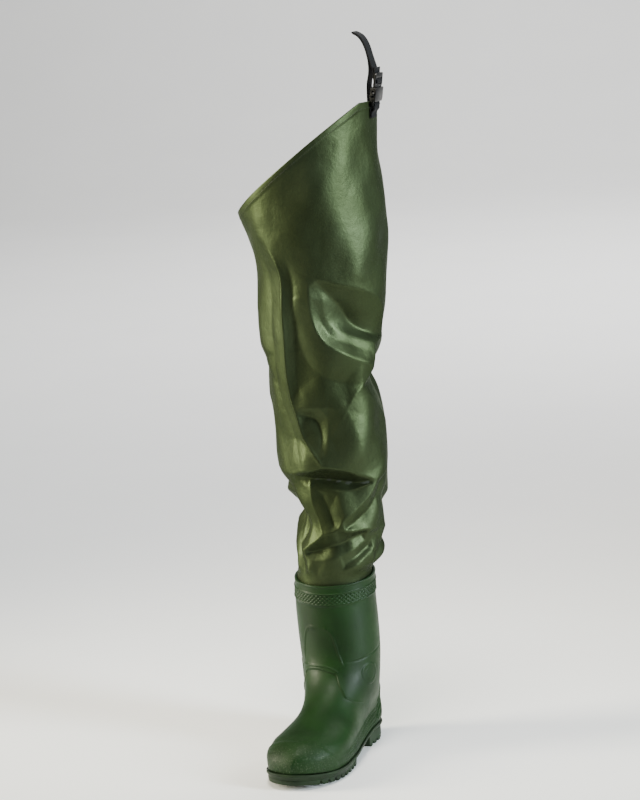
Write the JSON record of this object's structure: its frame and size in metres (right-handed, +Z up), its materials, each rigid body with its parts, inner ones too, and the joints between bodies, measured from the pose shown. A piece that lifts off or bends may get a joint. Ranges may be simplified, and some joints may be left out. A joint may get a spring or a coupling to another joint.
{
  "type": "thigh wader",
  "caption": "Left thigh wader with a moulded boot, a cleated sole, a coated fabric leg cut on a slant, and a belt strap with a side release buckle.",
  "frame": {"origin": "on the floor under the middle of the heel, on the middle heel cleat", "axes": "+Z up, toe towards -Y, outer side of the left leg towards +X"},
  "size_m": [0.2417, 0.3604, 1.1288],
  "materials": {
    "boot_rubber": "moulded dark green PVC, half matt",
    "sole_rubber": "moulded dark green PVC, matt",
    "insole_fabric": "knitted lining over foam",
    "coated_fabric": "olive green nylon with a glossy coating",
    "webbing": "black woven webbing",
    "buckle_plastic": "black moulded acetal"
  },
  "bodies": {
    "root": {"boot_upper": "boot_rubber", "outsole": "sole_rubber", "insole": "insole_fabric", "leg": "coated_fabric", "strap_tab": "webbing", "belt_strap": "webbing", "buckle_socket": "buckle_plastic", "buckle_plug": "buckle_plastic"}
  },
  "joints": []
}
